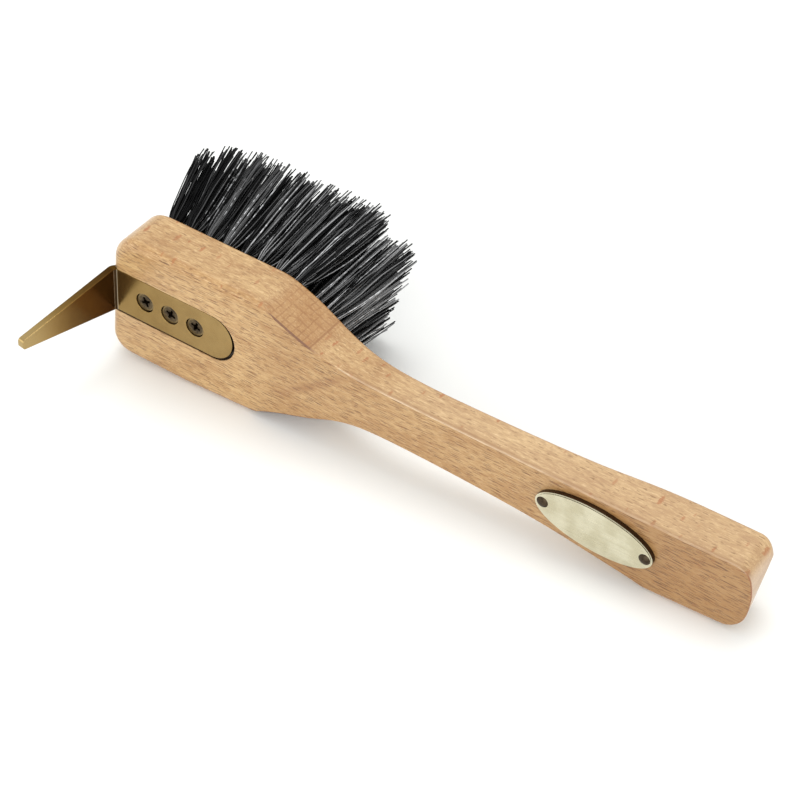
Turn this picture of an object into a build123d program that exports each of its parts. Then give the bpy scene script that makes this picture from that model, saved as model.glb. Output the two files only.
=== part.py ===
from build123d import *
import math
import os

# Hoof pick with a brush, lying on the lower side of its head. Millimetres, +Z up, bench at Z = 0.
#
# Everything is laid out in the tool's own frame, whose origin is where the strap bends, on the
# near face of the wood: u runs along the strap towards the butt, v runs across the head, and
# w stands out of the near face, on the side of the pick. The brush is on the far side, at -w.

# ---- how the tool lies on the bench
tilt = 3.45            # degrees that the strap slopes down towards the butt
rest_depth = 26.95     # from the strap's centreline down to the bench, square to the strap

# ---- wood body: outline in u and v, thickness in u and w
head_top = 21.4
head_bottom = -25.3
head_thick = 17.7
neck_thick = 11.5
butt_thick = 16.0
butt_end = 222.9
head_corner_top = 9.6  # radii of three of the corners, seen from the near face
head_corner_low = 7.2
butt_corner_top = 5.5
butt_back = 8.0        # radius that takes the far corner off the butt, seen from above
butt_under = 22.0      # radius that takes the lower far corner off the butt
under_turn = 38.0      # degrees that the axis of that radius slants, seen from the butt's end
under_place = (butt_end - butt_under - 0.1, 6.5, -3.4)   # a point on it, as u, v and w
blank_edge = 3.2       # rounding of the blank's near edges, left wherever the outline keeps them
near_edge = 0.5        # rounding of the near edges that were cut later
far_edge = 1.0         # rounding round the bristle face

# ---- steel strap: a flat plate let into the head, and the pick that is bent out of it
strap_width = 16.0
strap_thick = 2.2
plate_end = 44.55      # u at the far side of the plate's round end
bend_start = 0.3       # u where the plate's flat ends
bend_inside = 1.0      # radius on the inside of the bend
bend_angle = 81.9
pick_length = 37.3     # straight length of the pick, past the bend
pick_tip = 3.3         # width of the pick at its blunt end
tip_corner = 1.2
tip_drop = 0.4         # how far the pick's tip lies below the strap's centreline
recess_side = 0.4      # mean gap between the plate and the wood along its sides
recess_drop = 0.22     # how far the recess was cut too low
recess_end = 0.95      # gap at the plate's round end

# ---- wood screws that hold the plate
screw_places = (10.8, 20.5, 30.2)
screw_turns = (27, -23, -20)     # degrees that each cross recess has stopped at
screw_hole = 6.7       # mouth of the plate's countersunk hole
hole_lip = 0.5         # straight depth of that mouth, above the cone
screw_clearance = 3.9
head_diameter = 6.2
head_sink = 0.55       # top of the screw's head below the plate's face
head_rim = 0.15
thread_crest = 3.5
thread_core = 2.4
thread_pitch = 1.35
thread_turns = 5
cross_span = 3.6
cross_wing = 0.85
cross_depth = 1.5

# ---- oval badge, and the two pins that hold it
badge_u, badge_v = 173.3, 0.4
badge_turn = -4.2      # degrees from the strap's line
badge_long = 39.0
badge_short = 16.0
badge_thick = 1.7
rim_width = 0.5        # flat band round the badge's raised edge line
rim_step = 0.15
pin_reach = 17.0       # from the badge's centre to each pin
pin_head = 3.8
pin_dome = 0.6
pin_shank = 1.5
pin_length = 7.5

# ---- brush: five staggered rows of tufts, each folded over a wire anchor in a blind hole
row_pitch = 9.0
row_middle = -0.6      # v of the middle row
row_first = (7.9, 11.25, 7.9, 11.25, 7.9)   # u of each row's first tuft, lowest row first
row_tufts = (8, 8, 9, 9, 8)
tuft_pitch = 6.7
hole_diameter = 4.2
hole_depth = 7.0
hole_fit = 0.05        # gap all round between a tuft and its hole
tuft_length = 36.8
short_by = 8.0         # the tufts nearest the pick are this much shorter
short_over = 9.5       # stretch along u over which they reach their full length
tuft_tip = 7.8         # diameter of a tuft at its free end
lean_first = -0.27     # lean along u of each row's first tuft
lean_last = (0.35, 0.28, 0.21, 0.17, 0.26)  # and of its last one, lowest row first
lean_low, lean_high = 0.14, 0.2             # lean along v of the lowest and highest rows
anchor_long = 5.2
anchor_wide = 0.5
anchor_high = 1.4

# ---- the tool's frame, with the origin of the whole part under the middle of its box
slope = math.radians(tilt)
lean_out = math.radians(90 - bend_angle)
outer_bend = bend_inside + strap_thick
pick_reach_u = bend_start - outer_bend * math.cos(lean_out) - pick_length * math.sin(lean_out)
pick_reach_w = bend_inside * (1 - math.sin(lean_out)) + pick_length * math.cos(lean_out)
tool = Plane(
    origin=(
        -(pick_reach_u + butt_end) / 2 * math.cos(slope),
        -(head_thick + tuft_length - pick_reach_w) / 2,
        rest_depth * math.cos(slope),
    ),
    x_dir=(math.cos(slope), 0, -math.sin(slope)),
    z_dir=(0, -1, 0),
)
edge_on = Plane(origin=tool.origin, x_dir=tool.x_dir, z_dir=-tool.y_dir)   # local axes are u and w
bristle_face = tool.offset(-head_thick)


def bench(u):
    """Return the v at which the bench lies under the tool."""
    return -rest_depth + u * math.tan(slope)


def round_corner(sketch, corner, radius):
    """Round off the corner of a sketch that is nearest to a (u, v) point."""
    fillet(sketch.vertices().sort_by_distance(corner)[0], radius)


def tuft_places():
    """Return (row, number, u, v) of each tuft, counted from the lowest row and the pick's end."""
    places = []
    for row, (first, count) in enumerate(zip(row_first, row_tufts)):
        for number in range(count):
            v = row_middle + (row - 2) * row_pitch
            places.append((row + 1, number + 1, first + number * tuft_pitch, v))
    return places


def screw_thread():
    """Return the (radius, depth) points of a screw from its shank's end down to its point."""
    points = []
    start = head_sink + head_rim + (head_diameter - thread_crest) / 2
    for turn in range(thread_turns):
        top = start + 0.2 + turn * thread_pitch
        points += [(thread_core / 2, top), (thread_crest / 2, top + 0.6 * thread_pitch)]
    tip = start + 0.2 + thread_turns * thread_pitch
    return points + [(thread_core / 2, tip), (0, tip + 1.0)]


def pin_locations(height):
    """Return the place of each badge pin, at a height above the near face."""
    middle = tool.location * Pos(badge_u, badge_v, height) * Rot(Z=badge_turn)
    return [middle * Pos(side * pin_reach, 0, 0) for side in (-1, 1)]


os.makedirs("parts", exist_ok=True)


# ---- blank that the wood body is cut from, longer than the body, with its near edges rounded
top_left = (-1.5, head_top)
bottom_left = (-3.8, head_bottom)
sole_start = (26, bench(26))
blank_end = butt_end + head_thick
with BuildPart() as blank:
    with BuildSketch(tool) as blank_outline:
        with BuildLine():
            Polyline(
                top_left, bottom_left, sole_start, (blank_end, bench(blank_end)), (blank_end, head_top),
                close=True,
            )
        make_face()
        round_corner(blank_outline, top_left, head_corner_top)
        round_corner(blank_outline, bottom_left, head_corner_low)
    extrude(amount=-head_thick)
    fillet(blank.faces().sort_by(Axis.Y)[0].edges(), blank_edge)

# ---- wood body

with BuildPart() as wood_body:
    with BuildSketch(tool) as outline:
        with BuildLine():
            top = Line(top_left, (50, head_top))
            upper = Spline(
                top @ 1, (59.3, 19.3), (72.8, 14.1), (88.5, 11.5), (106, 11.0), (150, 11.1), (220.4, 11.7),
                tangents=[(1, 0), (1, 0.02)],
            )
            heel = Line((200, bench(200)), (206, bench(206)))
            end = ThreePointArc(upper @ 1, (butt_end - 0.1, 3), (222.4, -4.6))
            under = Spline(
                end @ 1, (221.5, -7.6), (219.6, -10.2), (216.4, -12.2), (211.5, -13.7), heel @ 1,
                tangents=[end % 1, (-1, -math.tan(slope))],
            )
            sole = Line(sole_start, (46, bench(46)))
            lower = Spline(
                sole @ 1, (56, -20.7), (65, -16.9), (74, -13.5), (81.3, -10.2), (88.6, -7.9), (98, -6.85),
                (107, -6.7), (131, -7.3), (160, -9.3), (178, -11.8), (189, -13.6), heel @ 0,
                tangents=[(1, math.tan(slope)), (1, math.tan(slope))],
            )
            chin = Line(bottom_left, sole @ 0)
            left = Line(top_left, bottom_left)
        make_face()
        round_corner(outline, top_left, head_corner_top)
        round_corner(outline, bottom_left, head_corner_low)
        round_corner(outline, upper @ 1, butt_corner_top)
    extrude(amount=-head_thick)
    with BuildSketch(edge_on):
        with BuildLine():
            flat_end = (62, -head_thick)
            back = Spline(
                flat_end, (75, -16.0), (88, -13.1), (104, -neck_thick), (125, -neck_thick), (150, -12.3),
                (168, -13.6), (188, -15.6), (204, -butt_thick), (butt_end + 1 - butt_back, -butt_thick),
                tangents=[(1, 0), (1, 0)],
            )
            turn = CenterArc(
                (butt_end + 1 - butt_back, butt_back - butt_thick), butt_back, -90, 90,
            )
            Polyline(turn @ 1, (butt_end + 1, 1), (-10, 1), (-10, -head_thick), flat_end)
        make_face()
    extrude(amount=2 * rest_depth, both=True, mode=Mode.INTERSECT)

    # round off the near face, then every edge that the far side shares with the sides, and
    # give the head and the heel the blank's rounder edges where the outline still has them
    fillet(wood_body.faces().sort_by(Axis.Y)[0].edges(), near_edge)
    far_faces = wood_body.faces().filter_by(lambda face: face.normal_at().Y > 0.7)
    far_edges = [edge for face in far_faces for edge in face.edges()]
    rims = [edge for edge in far_edges if sum(edge.is_same(other) for other in far_edges) == 1]
    fillet(rims, far_edge)
    add(blank.part, mode=Mode.INTERSECT)

    # a wide round-over along a slanting line takes the lower far corner off the butt
    with BuildPart(mode=Mode.PRIVATE) as trim:
        with Locations(tool.location * Pos(*under_place) * Rot(X=-under_turn)):
            Box(
                2 * butt_under, 4 * butt_under, 2 * butt_under,
                align=(Align.MIN, Align.CENTER, Align.MAX),
            )
            Cylinder(butt_under, 5 * butt_under, rotation=(90, 0, 0), mode=Mode.SUBTRACT)
    add(trim.part, mode=Mode.SUBTRACT)

    # recess for the plate, open where the strap leaves the head
    with BuildSketch(tool):
        with Locations((plate_end - strap_width / 2 + recess_end - recess_side, -recess_drop)):
            Circle(strap_width / 2 + recess_side)
            Rectangle(60, strap_width + 2 * recess_side, align=(Align.MAX, Align.CENTER))
    extrude(amount=-strap_thick, mode=Mode.SUBTRACT)

    # pilot holes for the screws, and holes for the badge's pins
    screw_tip = screw_thread()[-1][1]
    with Locations(*[tool.location * Pos(u, 0, 0) for u in screw_places]):
        Cylinder(
            thread_core / 2, screw_tip, align=(Align.CENTER, Align.CENTER, Align.MAX),
            mode=Mode.SUBTRACT,
        )
    with Locations(*pin_locations(0)):
        Cylinder(
            pin_shank / 2, pin_length - badge_thick, align=(Align.CENTER, Align.CENTER, Align.MAX),
            mode=Mode.SUBTRACT,
        )

    # blind holes for the tufts, and the seats that the wire anchors bite at their ends
    with Locations(*[bristle_face.location * Pos(u, v, 0) for row, number, u, v in tuft_places()]):
        Cylinder(
            hole_diameter / 2, hole_depth, align=(Align.CENTER, Align.CENTER, Align.MIN),
            mode=Mode.SUBTRACT,
        )
        with Locations((0, 0, hole_depth)):
            Box(
                anchor_long, anchor_wide, anchor_high, align=(Align.CENTER, Align.CENTER, Align.MAX),
                mode=Mode.SUBTRACT,
            )

wood_body.part.label = "wood_body"
export_step(wood_body.part, "parts/wood_body.step")

# ---- strap: the plate, the bend and the pick
with BuildPart() as pick_blade:
    with BuildSketch(tool):
        with Locations((plate_end - strap_width / 2, 0)):
            Circle(strap_width / 2)
        with Locations((bend_start, 0)):
            Rectangle(
                plate_end - strap_width / 2 - bend_start, strap_width,
                align=(Align.MIN, Align.CENTER),
            )
    extrude(amount=-strap_thick)

    # quarter bend about an axis along v, above the plate
    with BuildSketch(edge_on):
        with BuildLine():
            pivot = (bend_start, bend_inside)
            outer = CenterArc(pivot, outer_bend, -90, -bend_angle)
            inner = CenterArc(pivot, bend_inside, -90, -bend_angle)
            Line(outer @ 0, inner @ 0)
            Line(outer @ 1, inner @ 1)
        make_face()
    extrude(amount=strap_width / 2, both=True)

    # the pick tapers from the strap's width to a blunt, rounded tip; its y runs down the head
    inner_root = inner @ 1
    pick_plane = Plane(
        origin=edge_on.from_local_coords(inner_root),
        x_dir=edge_on.from_local_coords(inner_root + inner % 1) - edge_on.from_local_coords(inner_root),
        z_dir=edge_on.from_local_coords(inner_root)
        - edge_on.from_local_coords(outer @ 1),
    )
    with BuildSketch(pick_plane) as taper:
        with BuildLine():
            Polyline(
                (0, -strap_width / 2), (pick_length, tip_drop - pick_tip / 2),
                (pick_length, tip_drop + pick_tip / 2), (0, strap_width / 2), close=True,
            )
        make_face()
        fillet(taper.vertices().sort_by(Axis.X)[-2:], tip_corner)
    extrude(amount=-strap_thick)

    # countersunk screw holes
    cone_depth = strap_thick - hole_lip
    with Locations(*[tool.location * Pos(u, 0, 0) for u in screw_places]):
        Cylinder(
            screw_hole / 2, hole_lip, align=(Align.CENTER, Align.CENTER, Align.MAX),
            mode=Mode.SUBTRACT,
        )
        with Locations((0, 0, -hole_lip)):
            Cone(
                screw_clearance / 2, screw_hole / 2, cone_depth,
                align=(Align.CENTER, Align.CENTER, Align.MAX), mode=Mode.SUBTRACT,
            )
pick_blade.part.label = "pick_blade"
export_step(pick_blade.part, "parts/pick_blade.step")

# ---- countersunk wood screws with a cross recess
for number, (u, turn) in enumerate(zip(screw_places, screw_turns), start=1):
    screw_plane = Plane(tool.location * Pos(u, 0, 0) * Rot(Z=turn))
    across = Plane(origin=screw_plane.origin, x_dir=screw_plane.x_dir, z_dir=-screw_plane.y_dir)
    with BuildPart() as pick_screw:
        with BuildSketch(across):
            with BuildLine():
                rim = head_sink + head_rim
                cone_foot = rim + (head_diameter - thread_crest) / 2
                stations = [(0, head_sink), (head_diameter / 2, head_sink), (head_diameter / 2, rim)]
                stations += [(thread_core / 2, cone_foot)] + screw_thread()
                Polyline(*[(radius, -depth) for radius, depth in stations], close=True)
            make_face()
        revolve(axis=Axis(screw_plane.origin, screw_plane.z_dir))
        with BuildSketch(screw_plane.offset(-head_sink)):
            Rectangle(cross_span, cross_wing)
            Rectangle(cross_wing, cross_span)
            Circle(cross_span / 4)
        extrude(amount=-cross_depth, taper=12, mode=Mode.SUBTRACT)
    pick_screw.part.label = f"pick_screw_{number}"
    export_step(pick_screw.part, f"parts/pick_screw_{number}.step")

# ---- blank oval badge with a fine step round its rim
badge_plane = Plane(tool.location * Pos(badge_u, badge_v, 0) * Rot(Z=badge_turn))
with BuildPart() as name_badge:
    with BuildSketch(badge_plane):
        Ellipse(badge_long / 2, badge_short / 2)
    extrude(amount=badge_thick - rim_step)
    with BuildSketch(badge_plane.offset(badge_thick - rim_step)):
        Ellipse(badge_long / 2 - rim_width, badge_short / 2 - rim_width)
    extrude(amount=rim_step)
    with Locations(*pin_locations(badge_thick)):
        Cylinder(
            pin_shank / 2, badge_thick, align=(Align.CENTER, Align.CENTER, Align.MAX),
            mode=Mode.SUBTRACT,
        )
name_badge.part.label = "name_badge"
export_step(name_badge.part, "parts/name_badge.step")

# ---- round-headed pins through the badge
for number, place in enumerate(pin_locations(badge_thick), start=1):
    pin_plane = Plane(place)
    upright = Plane(origin=pin_plane.origin, x_dir=pin_plane.x_dir, z_dir=-pin_plane.y_dir)
    with BuildPart() as badge_pin:
        with BuildSketch(upright):
            with BuildLine():
                crown = ThreePointArc(
                    (0, pin_dome), (pin_head / 4, pin_dome * 0.8), (pin_head / 2, 0),
                )
                Polyline(
                    crown @ 1, (pin_shank / 2, 0), (pin_shank / 2, pin_shank - pin_length),
                    (0, -pin_length), crown @ 0,
                )
            make_face()
        revolve(axis=Axis(pin_plane.origin, pin_plane.z_dir))
    badge_pin.part.label = f"badge_pin_{number}"
    export_step(badge_pin.part, f"parts/badge_pin_{number}.step")

# ---- bristle tufts: round in the hole, then leaning and spreading towards the free end
tufts = tuft_places()
first_u, last_u = min(u for _, _, u, _ in tufts), max(u for _, _, u, _ in tufts)
low_v, high_v = min(v for _, _, _, v in tufts), max(v for _, _, _, v in tufts)
for row, number, u, v in tufts:
    lean_u = lean_first + (lean_last[row - 1] - lean_first) * (u - first_u) / (last_u - first_u)
    lean_v = lean_low + (lean_high - lean_low) * (v - low_v) / (high_v - low_v)
    length = tuft_length - short_by * max(0, 1 - (u - first_u) / short_over)
    root = hole_diameter / 2 - hole_fit
    with BuildPart() as bristle_tuft:
        with BuildSketch(bristle_face):
            with Locations((u, v)):
                Circle(root)
        extrude(amount=hole_depth - anchor_high)
        with BuildSketch(bristle_face):
            with Locations((u, v)):
                Circle(root)
        with BuildSketch(bristle_face.offset(-length)):
            with Locations((u + lean_u * length, v + lean_v * length)):
                Circle(tuft_tip / 2)
        loft()
    bristle_tuft.part.label = f"bristle_tuft_{row}_{number}"
    export_step(bristle_tuft.part, f"parts/bristle_tuft_{row}_{number}.step")

# ---- flat wire anchors, one at the bottom of each hole, grouped by row
for row in range(1, len(row_tufts) + 1):
    with BuildPart() as tuft_anchors:
        seats = [bristle_face.location * Pos(u, v, hole_depth) for r, _, u, v in tufts if r == row]
        with Locations(*seats):
            Box(anchor_long, anchor_wide, anchor_high, align=(Align.CENTER, Align.CENTER, Align.MAX))
    tuft_anchors.part.label = f"tuft_anchors_{row}"
    export_step(tuft_anchors.part, f"parts/tuft_anchors_{row}.step")
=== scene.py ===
import math
import random

import bpy
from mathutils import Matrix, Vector


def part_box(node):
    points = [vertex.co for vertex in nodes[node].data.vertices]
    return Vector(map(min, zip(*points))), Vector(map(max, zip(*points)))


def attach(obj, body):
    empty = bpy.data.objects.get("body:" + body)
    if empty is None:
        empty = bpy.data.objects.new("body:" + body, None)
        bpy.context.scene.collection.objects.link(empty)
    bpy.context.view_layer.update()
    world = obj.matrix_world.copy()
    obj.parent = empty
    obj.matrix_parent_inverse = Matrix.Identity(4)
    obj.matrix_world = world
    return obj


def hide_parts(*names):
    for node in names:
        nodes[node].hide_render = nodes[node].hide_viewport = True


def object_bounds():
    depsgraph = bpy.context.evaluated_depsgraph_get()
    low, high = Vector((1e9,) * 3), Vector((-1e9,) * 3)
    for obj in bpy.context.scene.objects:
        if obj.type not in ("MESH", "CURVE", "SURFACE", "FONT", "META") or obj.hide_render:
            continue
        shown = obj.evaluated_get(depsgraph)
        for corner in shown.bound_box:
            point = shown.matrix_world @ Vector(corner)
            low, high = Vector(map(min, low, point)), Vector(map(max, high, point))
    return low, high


# Looks of the hoof pick: procedural materials on the CAD parts, and filament tufts in the place
# of the plain CAD tufts. Everything is in metres, in the frame of the CAD model, but the
# materials work in millimetres in the tool's own directions.

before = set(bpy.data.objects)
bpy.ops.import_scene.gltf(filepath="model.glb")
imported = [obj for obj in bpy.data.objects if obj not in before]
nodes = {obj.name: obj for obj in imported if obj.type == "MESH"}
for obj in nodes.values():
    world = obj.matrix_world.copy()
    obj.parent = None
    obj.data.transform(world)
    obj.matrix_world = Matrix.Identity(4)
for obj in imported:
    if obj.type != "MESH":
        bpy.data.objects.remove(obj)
cad_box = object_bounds()
mm = 0.001

# ---- the tool's own directions: along the strap, out of the near face, and across the head
first_screw_along = 10.8 * mm      # from the strap's bend to the first screw


def centre(node):
    """Return the middle of a CAD node's box."""
    low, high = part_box(node)
    return (low + high) / 2


along = (centre("pick_screw_3") - centre("pick_screw_1")).normalized()
along.y = 0
tilt = math.atan2(-along.z, along.x)
wood_low, wood_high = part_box("wood_body")
bend = centre("pick_screw_1") - along * first_screw_along
bend.y = wood_low.y
bristle_face_y = wood_high.y


# ---- shader building
class Graph:
    """The node tree of one material. A value is a number, a tuple, or the output of a node."""

    def __init__(self, name):
        self.material = bpy.data.materials.new(name)
        self.material.use_nodes = True
        self.tree = self.material.node_tree
        self.shader = self.tree.nodes["Principled BSDF"]

    def put(self, socket, value):
        """Link a value to a socket, or write it there. A colour gets its fourth number."""
        if isinstance(value, bpy.types.NodeSocket):
            self.tree.links.new(value, socket)
        elif isinstance(value, tuple) and len(value) == 3 and len(socket.default_value) == 4:
            socket.default_value = (*value, 1)
        else:
            socket.default_value = value

    def node(self, kind, inputs=(), **settings):
        """Add a node."""
        made = self.tree.nodes.new(kind)
        for key, value in settings.items():
            setattr(made, key, value)
        for key, value in dict(inputs).items():
            self.put(made.inputs[key], value)
        return made

    def set(self, **inputs):
        """Put values into the surface shader."""
        for key, value in inputs.items():
            self.put(self.shader.inputs[key.replace("_", " ")], value)

    def math(self, operation, *values):
        """Combine numbers."""
        made = self.node("ShaderNodeMath", dict(enumerate(values)), operation=operation)
        return made.outputs[0]

    def product(self, *values):
        """Multiply numbers, the last two first."""
        result = values[-1]
        for value in reversed(values[:-1]):
            result = self.math("MULTIPLY", value, result)
        return result

    def largest(self, values):
        """The largest of some numbers."""
        result = values[0]
        for value in values[1:]:
            result = self.math("MAXIMUM", result, value)
        return result

    def apart(self, a, b):
        """How far apart two numbers are."""
        return self.math("ABSOLUTE", self.math("SUBTRACT", a, b))

    def ramp(self, value, low, high, at_low=0.0, at_high=1.0):
        """Ease from at_low to at_high while value goes from low to high."""
        inputs = {
            "Value": value, "From Min": low, "From Max": high,
            "To Min": at_low, "To Max": at_high,
        }
        made = self.node("ShaderNodeMapRange", inputs, interpolation_type="SMOOTHSTEP")
        return made.outputs[0]

    def band(self, value, low, full_from, full_to, high):
        """1 between full_from and full_to, easing to 0 at low and at high."""
        return self.product(self.ramp(value, low, full_from), self.ramp(value, high, full_to))

    def vector(self, operation, *values):
        """Combine vectors."""
        made = self.node("ShaderNodeVectorMath", dict(enumerate(values)), operation=operation)
        return made.outputs["Value" if operation == "LENGTH" else "Vector"]

    def scaled(self, vector, scale):
        """Multiply a vector by another, number by number."""
        return self.vector("MULTIPLY", vector, scale)

    def flat(self, a, b):
        """The vector (a, b, 0)."""
        return self.node("ShaderNodeCombineXYZ", {0: a, 1: b}).outputs[0]

    def split(self, vector):
        """The three numbers of a vector."""
        made = self.node("ShaderNodeSeparateXYZ", {0: vector})
        return made.outputs[0], made.outputs[1], made.outputs[2]

    def noise(self, place, size, detail, rough=0.5):
        """Noise with features of a size: one number, or one for each direction."""
        sizes = size if isinstance(size, tuple) else (size,) * 3
        cell = self.scaled(place, tuple(1 / side for side in sizes))
        inputs = {"Vector": cell, "Scale": 1.0, "Detail": detail, "Roughness": rough}
        return self.node("ShaderNodeTexNoise", inputs).outputs["Fac"]

    def spots(self, a, b, long, wide, least, most, kept, soft):
        """Elongated spots of uneven tone, at most one in a cell of long by wide.

        least and most are their reach in cells, and kept is the share of cells that have one.
        """
        cell = self.flat(self.math("DIVIDE", a, long), self.math("DIVIDE", b, wide))
        inputs = {"Vector": cell, "Scale": 1.0}
        made = self.node("ShaderNodeTexVoronoi", inputs, voronoi_dimensions="2D")
        chance, size, tone = self.split(made.outputs["Color"])
        reach = self.math("MULTIPLY_ADD", size, most - least, least)
        spot = self.ramp(self.math("SUBTRACT", made.outputs["Distance"], reach), soft, -soft)
        spot = self.product(spot, self.math("LESS_THAN", chance, kept))
        return self.product(spot, self.math("MULTIPLY_ADD", tone, 0.5, 0.5))

    def mix(self, factor, a, b, blend="MIX"):
        """Blend colour b over colour a."""
        made = self.node("ShaderNodeMix", data_type="RGBA", blend_type=blend)
        for name, value in (("Factor_Float", factor), ("A_Color", a), ("B_Color", b)):
            socket = next(s for s in made.inputs if s.identifier == name)
            self.put(socket, value)
        return next(s for s in made.outputs if s.identifier == "Result_Color")

    def bump(self, height, distance, strength, normal=None):
        """A normal bent by a height from 0 to 1 that stands for a distance."""
        inputs = {"Height": height, "Distance": distance, "Strength": strength}
        if normal is not None:
            inputs["Normal"] = normal
        return self.node("ShaderNodeBump", inputs).outputs["Normal"]

    def to_tool(self, vector):
        """Turn a vector of the CAD frame about the near face's normal, to lie along the tool."""
        inputs = {"Vector": vector, "Angle": -tilt}
        return self.node("ShaderNodeVectorRotate", inputs, rotation_type="Y_AXIS").outputs[0]

    def tool_place(self):
        """The place on the tool in millimetres from the strap's bend.

        The directions are along the strap, out of the near face, and up across the head.
        """
        place = self.node("ShaderNodeTexCoord").outputs["Object"]
        from_bend = self.vector("SUBTRACT", place, tuple(bend))
        return self.scaled(self.to_tool(from_bend), (1 / mm, -1 / mm, 1 / mm))

    def tool_normal(self):
        """The surface's normal in the same directions."""
        normal = self.node("ShaderNodeNewGeometry").outputs["Normal"]
        return self.scaled(self.to_tool(normal), (1, -1, 1))


def beech():
    """Satin-lacquered beech: streaks, short dark rays, red flecks, pores, dark and burnt edges, and
    painted highlights, sheen and shade.
    """
    g = Graph("beech")
    place = g.tool_place()
    x, out, up = g.split(place)
    nx, n_out, n_up = g.split(g.tool_normal())
    on_side = g.ramp(g.math("ABSOLUTE", n_out), 0.45, 0.85)
    on_top = g.ramp(n_up, 0.35, 0.8)

    # the wood's own colours, those of its cut and burnt edges, and painted highlights, sheen and
    # shade
    light_fibre, light_streak = (0.74, 0.53, 0.28), (0.68, 0.47, 0.24)
    pale, tan, ruddy = (0.54, 0.345, 0.15), (0.44, 0.255, 0.098), (0.33, 0.16, 0.052)
    dark_fibre, dark_mottle = (0.28, 0.14, 0.048), (0.33, 0.17, 0.06)
    pale_grip, brown_grip, painted_dip_shade = (0.7, 0.54, 0.36), (0.27, 0.125, 0.034), (0.26, 0.11, 0.035)
    dark_ray, red_ray = (0.13, 0.05, 0.012), (0.25, 0.085, 0.015)
    red_fleck, dark_pore = (0.36, 0.12, 0.03), (0.23, 0.12, 0.04)
    sawn_face, saw_mark = (0.36, 0.17, 0.05), (0.24, 0.095, 0.022)
    shoulder_line_dark, burn_and_shade = (0.13, 0.045, 0.016), (0.12, 0.035, 0.015)
    painted_edge_highlight, edge_by_face = (0.92, 0.76, 0.55), (0.3, 0.155, 0.06)
    painted_underside_shade, end_rim = (0.4, 0.18, 0.05), (0.25, 0.085, 0.028)
    painted_butt_sheen, painted_head_end_highlight = (0.66, 0.5, 0.37), (0.74, 0.58, 0.42)
    painted_gap_shade = (0.02, 0.01, 0.006)

    # broad figure, growth rings about a pith well below and behind the tool, and fibres
    pith, ring_width, ring_wander, ring_taper = (0.0, -34.0, -58.0), 3.9, 18.0, 0.05
    cloud = g.noise(place, (20, 8, 8), detail=3.0, rough=0.6)
    wander = g.noise(place, (60, 30, 30), detail=1.0)
    from_pith = g.vector("SUBTRACT", place, pith)
    radius = g.vector("LENGTH", g.scaled(from_pith, (ring_taper, 1, 1)))
    ring_place = g.math("MULTIPLY_ADD", wander, ring_wander, radius)
    ring = g.math("FRACT", g.math("DIVIDE", ring_place, ring_width))
    late_wood = g.band(ring, 0.4, 0.94, 0.95, 1.0)
    streak = g.noise(place, (11, 1.8, 0.9), detail=4.0, rough=0.7)
    fibre = g.noise(place, (2.9, 0.45, 0.32), detail=3.0, rough=0.75)
    mottle = g.noise(place, (2.6, 1.2, 1.2), detail=3.0, rough=0.7)
    colour = g.mix(g.ramp(cloud, 0.38, 0.64), pale, tan)
    colour = g.mix(g.ramp(streak, 0.46, 0.7, 0.0, 0.62), colour, ruddy)
    colour = g.mix(g.ramp(streak, 0.46, 0.3, 0.0, 0.45), colour, light_streak)
    colour = g.mix(g.product(late_wood, g.ramp(nx, 0.5, 0.9, 0.25, 0.8)), colour, ruddy)
    colour = g.mix(g.ramp(fibre, 0.48, 0.68, 0.0, 0.62), colour, dark_fibre)
    colour = g.mix(g.ramp(fibre, 0.48, 0.3, 0.0, 0.6), colour, light_fibre)
    colour = g.mix(g.product(g.ramp(mottle, 0.48, 0.68), on_top, 0.45), colour, dark_mottle)

    # broad changes: grip paler on top, grip and neck browner on the sides, painted shade in an arc
    # on the neck
    colour = g.mix(g.product(on_top, g.ramp(x, 84, 120), 0.16), colour, pale_grip)
    browner_neck = g.product(g.ramp(x, 44, 66), 0.26)
    browner = g.math("MULTIPLY_ADD", g.ramp(x, 130, 195), 0.42, browner_neck)
    colour = g.mix(g.product(browner, on_side), colour, brown_grip)
    # painted shade of a shallow dip across the neck's near face, in an arc
    arc_at, arc_slope, arc_up = 75.0, 0.78, 0.5
    arc_line = g.math("MULTIPLY_ADD", g.math("SUBTRACT", x, arc_at), arc_slope, arc_up)
    arc = g.product(g.ramp(g.apart(up, arc_line), 2.6, 0.2), g.band(x, 60, 66, 82, 90))
    arc = g.product(arc, on_side, g.ramp(streak, 0.3, 0.55, 0.1, 0.5))
    colour = g.mix(arc, colour, painted_dip_shade)

    # rays: short dark dashes along the grain on the two faces, the longest from the grip onwards
    ray_wander, fade_in = 6.0, 30
    waved = g.math("MULTIPLY_ADD", wander, ray_wander, up)
    layers = []
    for shift, long, wide, least, most, kept, start in (
        (0.0, 12.0, 0.72, 0.11, 0.19, 0.85, -40),
        (41.3, 9.0, 0.6, 0.1, 0.18, 0.8, -40),
        (87.9, 6.0, 0.8, 0.07, 0.13, 0.8, -40),
        (133.1, 13.0, 0.85, 0.13, 0.22, 0.8, 140),
    ):
        a, b = g.math("ADD", x, shift), g.math("ADD", waved, shift)
        layer = g.spots(a, b, long, wide, least, most, kept, soft=0.03)
        layers.append(g.product(layer, g.ramp(x, start, start + fade_in)))
    dashes = g.product(g.largest(layers), on_side)
    colour = g.mix(dashes, colour, g.mix(g.ramp(mottle, 0.5, 0.62), dark_ray, red_ray))

    # red flecks and small dark pores on the faces across the rays
    drift = g.math("MULTIPLY_ADD", fibre, 1.8, x)
    across = g.math("MULTIPLY_ADD", mottle, 4.0, out)
    fleck = g.spots(across, drift, 9.5, 3.3, 0.03, 0.2, 0.45, soft=0.05)
    colour = g.mix(g.product(fleck, on_top, 0.8), colour, red_fleck)
    across = g.math("MULTIPLY_ADD", mottle, 1.5, out)
    pore = g.spots(x, across, 4.6, 0.95, 0.1, 0.22, 0.65, soft=0.04)
    colour = g.mix(g.product(pore, on_top, 0.75), colour, dark_pore)

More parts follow.
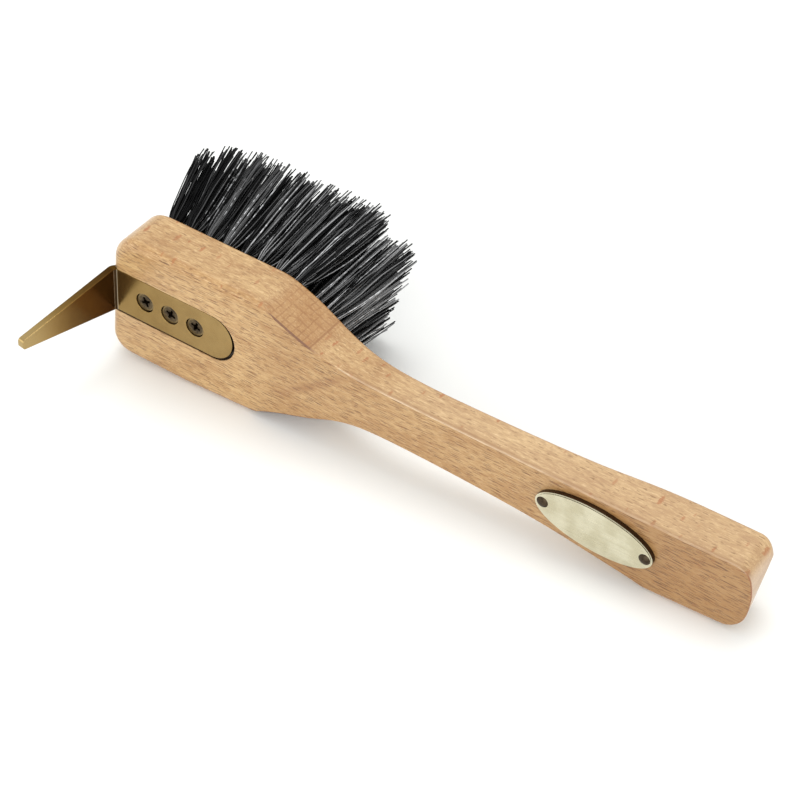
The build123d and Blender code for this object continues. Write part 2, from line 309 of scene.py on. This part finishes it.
    # saw marks left on the shoulder, across it and along it, and a step where the saw stopped
    sawn = g.product(g.band(x, 54, 58, 72, 77), on_top)
    colour = g.mix(g.product(sawn, 0.5), colour, sawn_face)
    layers = []
    for way, pitch, patch in ((x, 2.0, 5.0), (out, 3.1, 7.0)):
        turns = g.math("MULTIPLY_ADD", mottle, 0.1, g.math("DIVIDE", way, pitch))
        turns = g.math("MULTIPLY_ADD", cloud, 0.8, turns)
        line = g.ramp(g.apart(g.math("FRACT", turns), 0.5), 0.16, 0.02)
        faded = g.ramp(g.noise(place, patch, detail=1.0), 0.25, 0.68, 0.15, 1.0)
        layers.append(g.product(line, faded))
    marks = g.product(g.largest(layers), sawn, 0.5)
    step_at = 72.8
    step = g.product(g.ramp(g.apart(x, step_at), 0.55, 0.1), on_top, 0.65)
    marks = g.largest([marks, step])
    colour = g.mix(marks, colour, saw_mark)

    # edges: a dark line along the shoulders where they were cut, a painted highlight along the neck
    # and the grip with a browner line beside it, painted shade underneath, burn marks and painted
    # shade under the shoulder, a dark rim at the butt's end, and painted sheen on the end grain
    corner = g.product(n_out, n_up)
    top_edge, low_edge = g.ramp(corner, 0.2, 0.42), g.ramp(corner, -0.12, -0.4)
    rim = g.largest([top_edge, g.product(on_top, g.ramp(out, -0.85, -0.45))])
    # a dark line along the shoulder's near top edge and just onto its top
    shoulder_line = g.product(rim, g.band(x, 56, 59, 71, 77))
    colour = g.mix(g.product(shoulder_line, 0.85), colour, shoulder_line_dark)
    # painted highlight along the near top edge of the neck and the grip
    edge_highlight = g.product(top_edge, g.ramp(x, 80, 90))
    patchy = g.product(g.ramp(x, 130, 185, 0.6, 0.25), g.ramp(streak, 0.6, 0.4, 0.5, 1.0))
    colour = g.mix(g.product(edge_highlight, patchy), colour, painted_edge_highlight)
    beside = g.product(g.ramp(out, -1.9, -0.9), g.ramp(x, 84, 92), on_top)
    colour = g.mix(g.product(beside, 0.55), colour, edge_by_face)
    # painted shade on the rounding of the near bottom edge, reddened as by light bounced from below
    colour = g.mix(g.product(low_edge, 0.55), colour, painted_underside_shade)
    # burn marks and painted shade on the downward-facing surfaces under the shoulder
    burnt_and_shaded = g.product(g.band(x, 50, 55, 68, 80), g.ramp(n_up, -0.12, -0.4))
    colour = g.mix(g.product(burnt_and_shaded, 0.85), colour, burn_and_shade)
    end_edge = g.ramp(g.product(n_out, nx), 0.12, 0.4)
    end_edge = g.product(end_edge, g.ramp(up, -8, 6, 0.45, 0.85))
    colour = g.mix(end_edge, colour, end_rim)
    # painted sheen on the butt's end face, standing in for its grazing reflection
    colour = g.mix(g.ramp(nx, 0.6, 0.95, 0.0, 0.6), colour, painted_butt_sheen)
    # painted highlight on the head's rounded left end
    colour = g.mix(g.ramp(nx, -0.25, -0.9, 0.0, 0.5), colour, painted_head_end_highlight)

    # painted shade in the gap round the plate: the walls and floor of its recess are darkened
    in_recess = g.product(g.band(out, -2.6, -2.3, -0.35, -0.1), g.band(x, -1.5, 0.0, 46.5, 47))
    in_recess = g.product(in_recess, g.ramp(g.math("ABSOLUTE", up), 9.2, 8.8))
    colour = g.mix(g.product(in_recess, 0.93), colour, painted_gap_shade)

    g.set(Base_Color=colour, Roughness=g.ramp(fibre, 0.3, 0.8, 0.4, 0.55))
    g.set(Specular_IOR_Level=0.5, Coat_Weight=0.3, Coat_Roughness=0.2)
    height = g.math("MULTIPLY_ADD", dashes, -0.7, g.product(fibre, 0.3))
    height = g.math("MULTIPLY_ADD", marks, -0.6, height)
    g.set(Normal=g.bump(height, 0.15 * mm, 0.5))
    return g.material


def plated_strap():
    """Antique brass plating: satin, faintly grained and mottled, with edges eased in shading,
    painted shade and highlights near the bend, and painted light at the pick's tip.
    """
    g = Graph("plated_strap")
    brass, tan_brass, dark_speck = (0.37, 0.25, 0.098), (0.32, 0.21, 0.08), (0.12, 0.07, 0.03)
    painted_dark_reflection, tip, yellow = (0.04, 0.012, 0.0), (0.45, 0.325, 0.14), (0.9, 0.8, 0.55)
    shade, deepest_shade = (0.17, 0.085, 0.0), 0.34
    painted_bend_shade, painted_bend_highlight, painted_hole_shade = (0.03, 0.018, 0.01), (0.4, 0.35, 0.28), (0.035, 0.02, 0.008)
    edge_radius = 0.3 * mm
    place = g.tool_place()
    mottle = g.noise(place, 9, detail=4.0, rough=0.6)
    grain = g.noise(place, 0.35, detail=2.0)
    speck = g.noise(place, 1.1, detail=3.0, rough=0.7)
    colour = g.mix(g.ramp(mottle, 0.35, 0.7), brass, tan_brass)
    colour = g.mix(g.ramp(speck, 0.64, 0.8, 0.0, 0.5), colour, dark_speck)

    # painted reflection and shade: darker over the foot of the pick and lighter at its tip, darker
    # in the plate's corner by it and along the plate
    x, out, up = g.split(place)
    on_pick = g.ramp(x, 0.2, -0.4)
    colour = g.mix(g.product(on_pick, g.ramp(out, 40, -6, 0.0, 0.95)), colour, painted_dark_reflection)
    # painted light: the pick lighter towards its tip, where it would mirror the bright floor
    colour = g.mix(g.product(on_pick, g.ramp(out, 18, 36, 0.0, 0.9)), colour, tip)
    colour = g.mix(g.product(on_pick, g.ramp(out, 36, 16)), colour, yellow, "MULTIPLY")
    slant = g.math("MULTIPLY_ADD", g.math("ADD", up, 8.0), -0.6, x)
    in_corner = g.ramp(slant, 0.5, -0.5, 0.0, deepest_shade)
    plate_shade = g.largest([in_corner, g.ramp(x, 40, 2, 0.0, deepest_shade)])
    colour = g.mix(g.product(plate_shade, g.ramp(out, 1.2, 0.4)), colour, shade)

    # painted shade inside the bend, between two painted highlights along it; painted shade in the
    # holes and on the plate's sides
    nx, n_out, _ = g.split(g.tool_normal())
    inside = g.product(g.ramp(nx, 0.12, 0.3), g.ramp(n_out, 0.16, 0.3))
    inside = g.product(inside, g.ramp(out, -0.05, 0.02))
    bend_colour = g.mix(g.ramp(g.apart(nx, n_out), 0.45, 0.6), painted_bend_shade, painted_bend_highlight)
    colour = g.mix(g.product(inside, 0.85), colour, bend_colour)
    # painted shade in the screw holes and on the plate's sides
    sunk = g.product(g.ramp(out, -0.02, -0.2), g.ramp(x, 1.5, 2.5))
    colour = g.mix(g.product(sunk, 0.85), colour, painted_hole_shade)
    g.set(Base_Color=colour, Metallic=1.0, Roughness=g.ramp(grain, 0.3, 0.7, 0.2, 0.27))
    eased = g.node("ShaderNodeBevel", {"Radius": edge_radius}, samples=6).outputs["Normal"]
    g.set(Normal=g.bump(grain, 0.01 * mm, 0.35, eased))
    return g.material


def screw_bronze():
    """Bronzed screw heads: brassy, with a painted highlight at the rim, darker round the cross, and
    with a painted shadow on their upper side.
    """
    g = Graph("screw_bronze")
    bronze, dark_patch = (0.15, 0.11, 0.058), (0.075, 0.052, 0.03)
    cross, rim, painted_upper_shadow = (0.03, 0.02, 0.014), (0.28, 0.2, 0.09), (0.012, 0.008, 0.005)
    place = g.tool_place()
    x, _, up = g.split(place)
    pitch = (centre("pick_screw_2") - centre("pick_screw_1")).length / mm
    half_before_first = first_screw_along / mm - pitch / 2
    turns = g.math("FRACT", g.math("DIVIDE", g.math("SUBTRACT", x, half_before_first), pitch))
    off = g.product(g.math("SUBTRACT", turns, 0.5), pitch)
    radius = g.vector("LENGTH", g.flat(off, up))
    patches = g.noise(place, 0.9, detail=4.0, rough=0.65)
    grain = g.noise(place, 0.2, detail=2.0)
    colour = g.mix(g.ramp(patches, 0.35, 0.65), bronze, dark_patch)
    colour = g.mix(g.ramp(radius, 2.2, 1.2, 0.0, 0.65), colour, cross)
    # painted highlight round the rim of each head
    colour = g.mix(g.ramp(radius, 2.45, 2.8, 0.0, 0.7), colour, rim)
    # painted shadow on the upper side of each head, where the countersink would shade it
    to_top = g.math("MULTIPLY_ADD", off, 0.53, g.product(up, 0.85))
    colour = g.mix(g.ramp(to_top, 1.6, 2.5, 0.0, 0.9), colour, painted_upper_shadow)
    g.set(Base_Color=colour, Metallic=1.0, Roughness=g.ramp(grain, 0.3, 0.7, 0.32, 0.46))
    g.set(Normal=g.bump(grain, 0.02 * mm, 0.4))
    return g.material


def pin_bronze():
    """Bronzed steel, darker in patches."""
    g = Graph("pin_bronze")
    bronze, dark_patch = (0.075, 0.055, 0.035), (0.035, 0.024, 0.016)
    place = g.tool_place()
    patches = g.noise(place, 1.3, detail=4.0, rough=0.65)
    grain = g.noise(place, 0.2, detail=2.0)
    colour = g.mix(g.ramp(patches, 0.35, 0.68), bronze, dark_patch)
    g.set(Base_Color=colour, Metallic=1.0, Roughness=g.ramp(grain, 0.3, 0.7, 0.29, 0.42))
    g.set(Normal=g.bump(grain, 0.02 * mm, 0.4))
    return g.material


def badge_brass():
    """Pale brass face, brushed along the badge, with a dark bronze edge."""
    g = Graph("badge_brass")
    pale_brass, brass = (0.69, 0.655, 0.5), (0.56, 0.52, 0.37)
    dark_line, edge = (0.36, 0.31, 0.18), (0.075, 0.05, 0.03)
    place = g.tool_place()
    brushed = g.noise(place, (12, 0.2, 0.12), detail=3.0, rough=0.7)
    cloud = g.noise(place, 7, detail=3.0)
    _, n_out, _ = g.split(g.tool_normal())
    face = g.mix(g.ramp(cloud, 0.35, 0.7), pale_brass, brass)
    face = g.mix(g.ramp(brushed, 0.4, 0.8, 0.0, 0.4), face, dark_line)
    colour = g.mix(g.ramp(n_out, 0.4, 0.8), edge, face)
    g.set(Base_Color=colour, Metallic=1.0, Roughness=g.ramp(brushed, 0.3, 0.7, 0.24, 0.34))
    g.set(Normal=g.bump(brushed, 0.01 * mm, 0.3))
    return g.material


def anchor_wire():
    """Drawn flat wire, faintly lined."""
    g = Graph("anchor_wire")
    bright, dull = (0.5, 0.49, 0.46), (0.38, 0.37, 0.35)
    lines = g.noise(g.tool_place(), (6, 0.15, 0.15), detail=2.0)
    g.set(Base_Color=g.mix(lines, bright, dull), Metallic=1.0)
    g.set(Roughness=g.ramp(lines, 0.3, 0.7, 0.28, 0.4))
    return g.material


def bristle():
    """Black nylon filament; grey filaments, partly own tone and partly painted highlight, more
    towards the butt; painted glints in dashes.
    """
    g = Graph("bristle")
    black, grey_and_painted_highlight, painted_glint = (0.003, 0.003, 0.0033), (0.3, 0.302, 0.306), (0.62, 0.63, 0.64)
    shade = g.node("ShaderNodeAttribute", attribute_name="shade").outputs["Fac"]
    place = g.tool_place()
    x, out, _ = g.split(place)
    dash_length, moved_by_shade = 2.2, 97.0
    cell = g.scaled(place, (1 / dash_length,) * 3)
    own = g.vector("ADD", cell, g.flat(g.product(shade, moved_by_shade), 0.0))
    length = g.noise(own, 1, detail=1.0)
    # grey filaments, partly their own tone and partly painted highlight, more of them towards the
    # butt
    to_butt = g.math("MULTIPLY_ADD", g.ramp(x, 2, 58), 0.92, 0.08)
    grey = g.product(g.ramp(shade, 0.35, 0.95), to_butt)
    colour = g.mix(grey, black, grey_and_painted_highlight)
    # painted glints in dashes along some filaments
    lit = g.product(g.ramp(length, 0.5, 0.58), g.ramp(shade, 0.82, 0.92))
    lit = g.product(lit, g.band(out, -50, -42, -26, -19))
    lit = g.product(lit, g.ramp(x, 2, 26))
    colour = g.mix(lit, colour, painted_glint)
    g.set(Base_Color=colour, Roughness=g.ramp(length, 0.3, 0.7, 0.24, 0.34))
    g.set(Specular_IOR_Level=g.math("MULTIPLY_ADD", grey, 0.9, 0.06))
    return g.material


def named(prefix):
    """Return the CAD nodes whose names start with a prefix."""
    return [name for name in nodes if name.startswith(prefix)]


def paint(names, material):
    """Give CAD nodes a material."""
    for name in names:
        slots = nodes[name].data.materials
        slots.clear()
        slots.append(material)


# ---- filament tufts
filament_radius = 0.22 * mm
filament_sides = 5
filament_rings = 9
filament_thickness = (0.85, 1.05)      # times filament_radius
filaments_per_tuft = 80
filament_turn = math.radians(137.5)    # about the tuft's middle, from one filament to the next
turn_scatter = 0.4             # radians
tip_dome = 0.1 * mm            # height of the domed tip
off_axis = Vector((0.3, 0.2, 1))       # a direction that no filament has
root_depth = 5.2 * mm          # how far the filaments reach into their hole
root_fill = 0.95               # how much of the hole's radius they take up
same_height = 0.02 * mm        # vertices this close to a level belong to its outline

# the shape of a filament; the spread is 0 in the middle of a tuft and 1 at its edge
tip_reach = (0.85, 1.35)       # times the tuft's radius at its tip
tip_scatter = 0.9              # millimetres
short_by = 0.035               # how uneven the filaments' lengths are
wave_height = (0.1, 0.45)      # millimetres
wave_count = (0.6, 1.6)        # in a filament's length
wave_start = (0, 6.28)         # radians
bow_out, bow_scatter = 0.2, 0.45   # millimetres
fan_early = 0.4                # below 1, a tuft spreads most near its root
bristle_black = bristle()


def tuft_axis(node):
    """Return where a CAD tuft leaves the wood, where it ends, and its radius at both places."""
    points = [v.co for v in nodes[node].data.vertices]
    ends = []
    for y in (bristle_face_y, max(p.y for p in points)):
        ring = [p for p in points if abs(p.y - y) < same_height]
        low = Vector((min(p.x for p in ring), y, min(p.z for p in ring)))
        high = Vector((max(p.x for p in ring), y, max(p.z for p in ring)))
        ends.append(((low + high) / 2, (high.x - low.x) / 2))
    return ends


def filament_path(number, draw, ends):
    """Return the points along one filament of a tuft, from inside its hole to its tip."""
    (root, root_radius), (tip, tip_radius) = ends
    spread = math.sqrt((number + 0.5) / filaments_per_tuft)
    turn = number * filament_turn + draw.uniform(-turn_scatter, turn_scatter)
    spoke = Vector((math.cos(turn), 0, math.sin(turn)))
    start = root + spoke * spread * (root_radius - filament_radius) * root_fill
    reach = tip_radius * spread * draw.uniform(*tip_reach)
    scatter = Vector((draw.gauss(0, tip_scatter), 0, draw.gauss(0, tip_scatter))) * mm
    end = tip + spoke * reach + scatter
    share = 1 - abs(draw.gauss(0, short_by))
    height = draw.uniform(*wave_height) * mm
    waves = draw.uniform(*wave_count)
    phase = draw.uniform(*wave_start)
    wave_way = Vector((math.cos(phase), 0, math.sin(phase)))
    bow = draw.gauss(bow_out * spread, bow_scatter) * mm
    fan = reach - spread * (root_radius - filament_radius) * root_fill
    points = [Vector((start.x, start.y - root_depth, start.z)), start.copy()]
    for step in range(1, filament_rings):
        t = step / (filament_rings - 1) * share
        point = start.lerp(end, t)
        swing = math.sin(2 * math.pi * waves * t + phase) * height * min(1, 3 * t)
        point += wave_way * swing + spoke * bow * math.sin(math.pi * t)
        point += spoke * fan * (t ** fan_early - t)
        points.append(point)
    low, high = cad_box
    for point in points[2:]:
        point.x = min(max(point.x, low.x + 2 * filament_radius), high.x)
        point.y = min(point.y, high.y - 2 * filament_radius)
        point.z = min(max(point.z, 2 * filament_radius), high.z - 2 * filament_radius)
    return points


def filament(points, radius):
    """Return the vertices and faces of one round filament along points, with a domed tip."""
    verts, faces = [], []
    sides = filament_sides
    count = len(points)
    for i, point in enumerate(points):
        ahead = (points[min(i + 1, count - 1)] - points[max(i - 1, 0)]).normalized()
        side = ahead.cross(off_axis).normalized()
        other = ahead.cross(side)
        for k in range(sides):
            turn = 2 * math.pi * k / sides
            verts.append(point + (side * math.cos(turn) + other * math.sin(turn)) * radius)
    verts.append(points[-1] + (points[-1] - points[-2]).normalized() * tip_dome)
    for i in range(count - 1):
        for k in range(sides):
            a, b = i * sides + k, i * sides + (k + 1) % sides
            faces.append((a, b, b + sides, a + sides))
    last = (count - 1) * sides
    faces += [(last + k, last + (k + 1) % sides, len(verts) - 1) for k in range(sides)]
    faces.append(tuple(range(sides - 1, -1, -1)))
    return verts, faces


def tuft(node, seed):
    """Build the filaments of one tuft and put them in the CAD tuft's place."""
    draw = random.Random(seed)
    ends = tuft_axis(node)
    verts, faces, shades = [], [], []
    for number in range(filaments_per_tuft):
        points = filament_path(number, draw, ends)
        radius = filament_radius * draw.uniform(*filament_thickness)
        made, made_faces = filament(points, radius)
        offset = len(verts)
        verts += made
        faces += [tuple(k + offset for k in face) for face in made_faces]
        shades += [draw.random()] * len(made)
    mesh = bpy.data.meshes.new(node + "_filaments")
    mesh.from_pydata(verts, [], faces)
    mesh.polygons.foreach_set("use_smooth", [True] * len(mesh.polygons))
    mesh.attributes.new("shade", "FLOAT", "POINT").data.foreach_set("value", shades)
    mesh.materials.append(bristle_black)
    piece = bpy.data.objects.new(node + "_filaments", mesh)
    bpy.context.scene.collection.objects.link(piece)
    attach(piece, "root")
    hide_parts(node)


for seed, tuft_node in enumerate(sorted(named("bristle_tuft_"))):
    tuft(tuft_node, seed)

paint(["wood_body"], beech())
paint(["pick_blade"], plated_strap())
paint(named("pick_screw_"), screw_bronze())
paint(["name_badge"], badge_brass())
paint(named("badge_pin_"), pin_bronze())
paint(named("tuft_anchors_"), anchor_wire())


# ---- floor, light and camera
def floor():
    """A wide pale floor at the height that the tool lies on."""
    half = 20.0
    corners = [(-half, -half, 0), (half, -half, 0), (half, half, 0), (-half, half, 0)]
    mesh = bpy.data.meshes.new("floor")
    mesh.from_pydata(corners, [], [(0, 1, 2, 3)])
    g = Graph("floor_paper")
    g.set(Base_Color=(0.885, 0.895, 0.875), Roughness=0.9, Specular_IOR_Level=0.1)
    mesh.materials.append(g.material)
    made = bpy.data.objects.new("floor", mesh)
    bpy.context.scene.collection.objects.link(made)


def softbox(name, place, target, size, power):
    """A square area light at place that faces target. Its size is in metres, its power in watts."""
    data = bpy.data.lights.new(name, "AREA")
    data.size = size
    data.energy = power
    light = bpy.data.objects.new(name, data)
    light.location = place
    light.rotation_euler = (Vector(target) - Vector(place)).to_track_quat("-Z", "Y").to_euler()
    bpy.context.scene.collection.objects.link(light)


floor()
softbox("overhead", place=(-0.1, 0.26, 1.2), target=(0, 0, 0), size=0.7, power=5.4)
softbox("front", place=(0.36, -1.15, 0.48), target=(0, 0, 0.02), size=1.2, power=8.0)
softbox("left", place=(-0.8, -0.7, 0.4), target=(-0.08, 0, 0.02), size=0.7, power=1.6)

world_strength = 0.9
world = bpy.data.worlds.new("studio")
world.use_nodes = True
background = world.node_tree.nodes["Background"]
background.inputs["Color"].default_value = (1, 1, 1, 1)
background.inputs["Strength"].default_value = world_strength
bpy.context.scene.world = world

view_azimuth = math.radians(34.04)
view_elevation = math.radians(40.40)
view_distance = 714.7 * mm
aim = Vector((-8.25, 2.2, 21.4)) * mm
camera_data = bpy.data.cameras.new("camera")
camera_data.lens = 107.98      # millimetres, on a sensor of sensor_width
camera_data.sensor_width = 36
camera = bpy.data.objects.new("camera", camera_data)
camera.location = aim + view_distance * Vector((
    math.sin(view_azimuth) * math.cos(view_elevation),
    -math.cos(view_azimuth) * math.cos(view_elevation),
    math.sin(view_elevation),
))
camera.rotation_euler = (math.pi / 2 - view_elevation, 0, view_azimuth)
bpy.context.scene.collection.objects.link(camera)
bpy.context.scene.camera = camera
bpy.context.scene.view_settings.view_transform = "Standard"
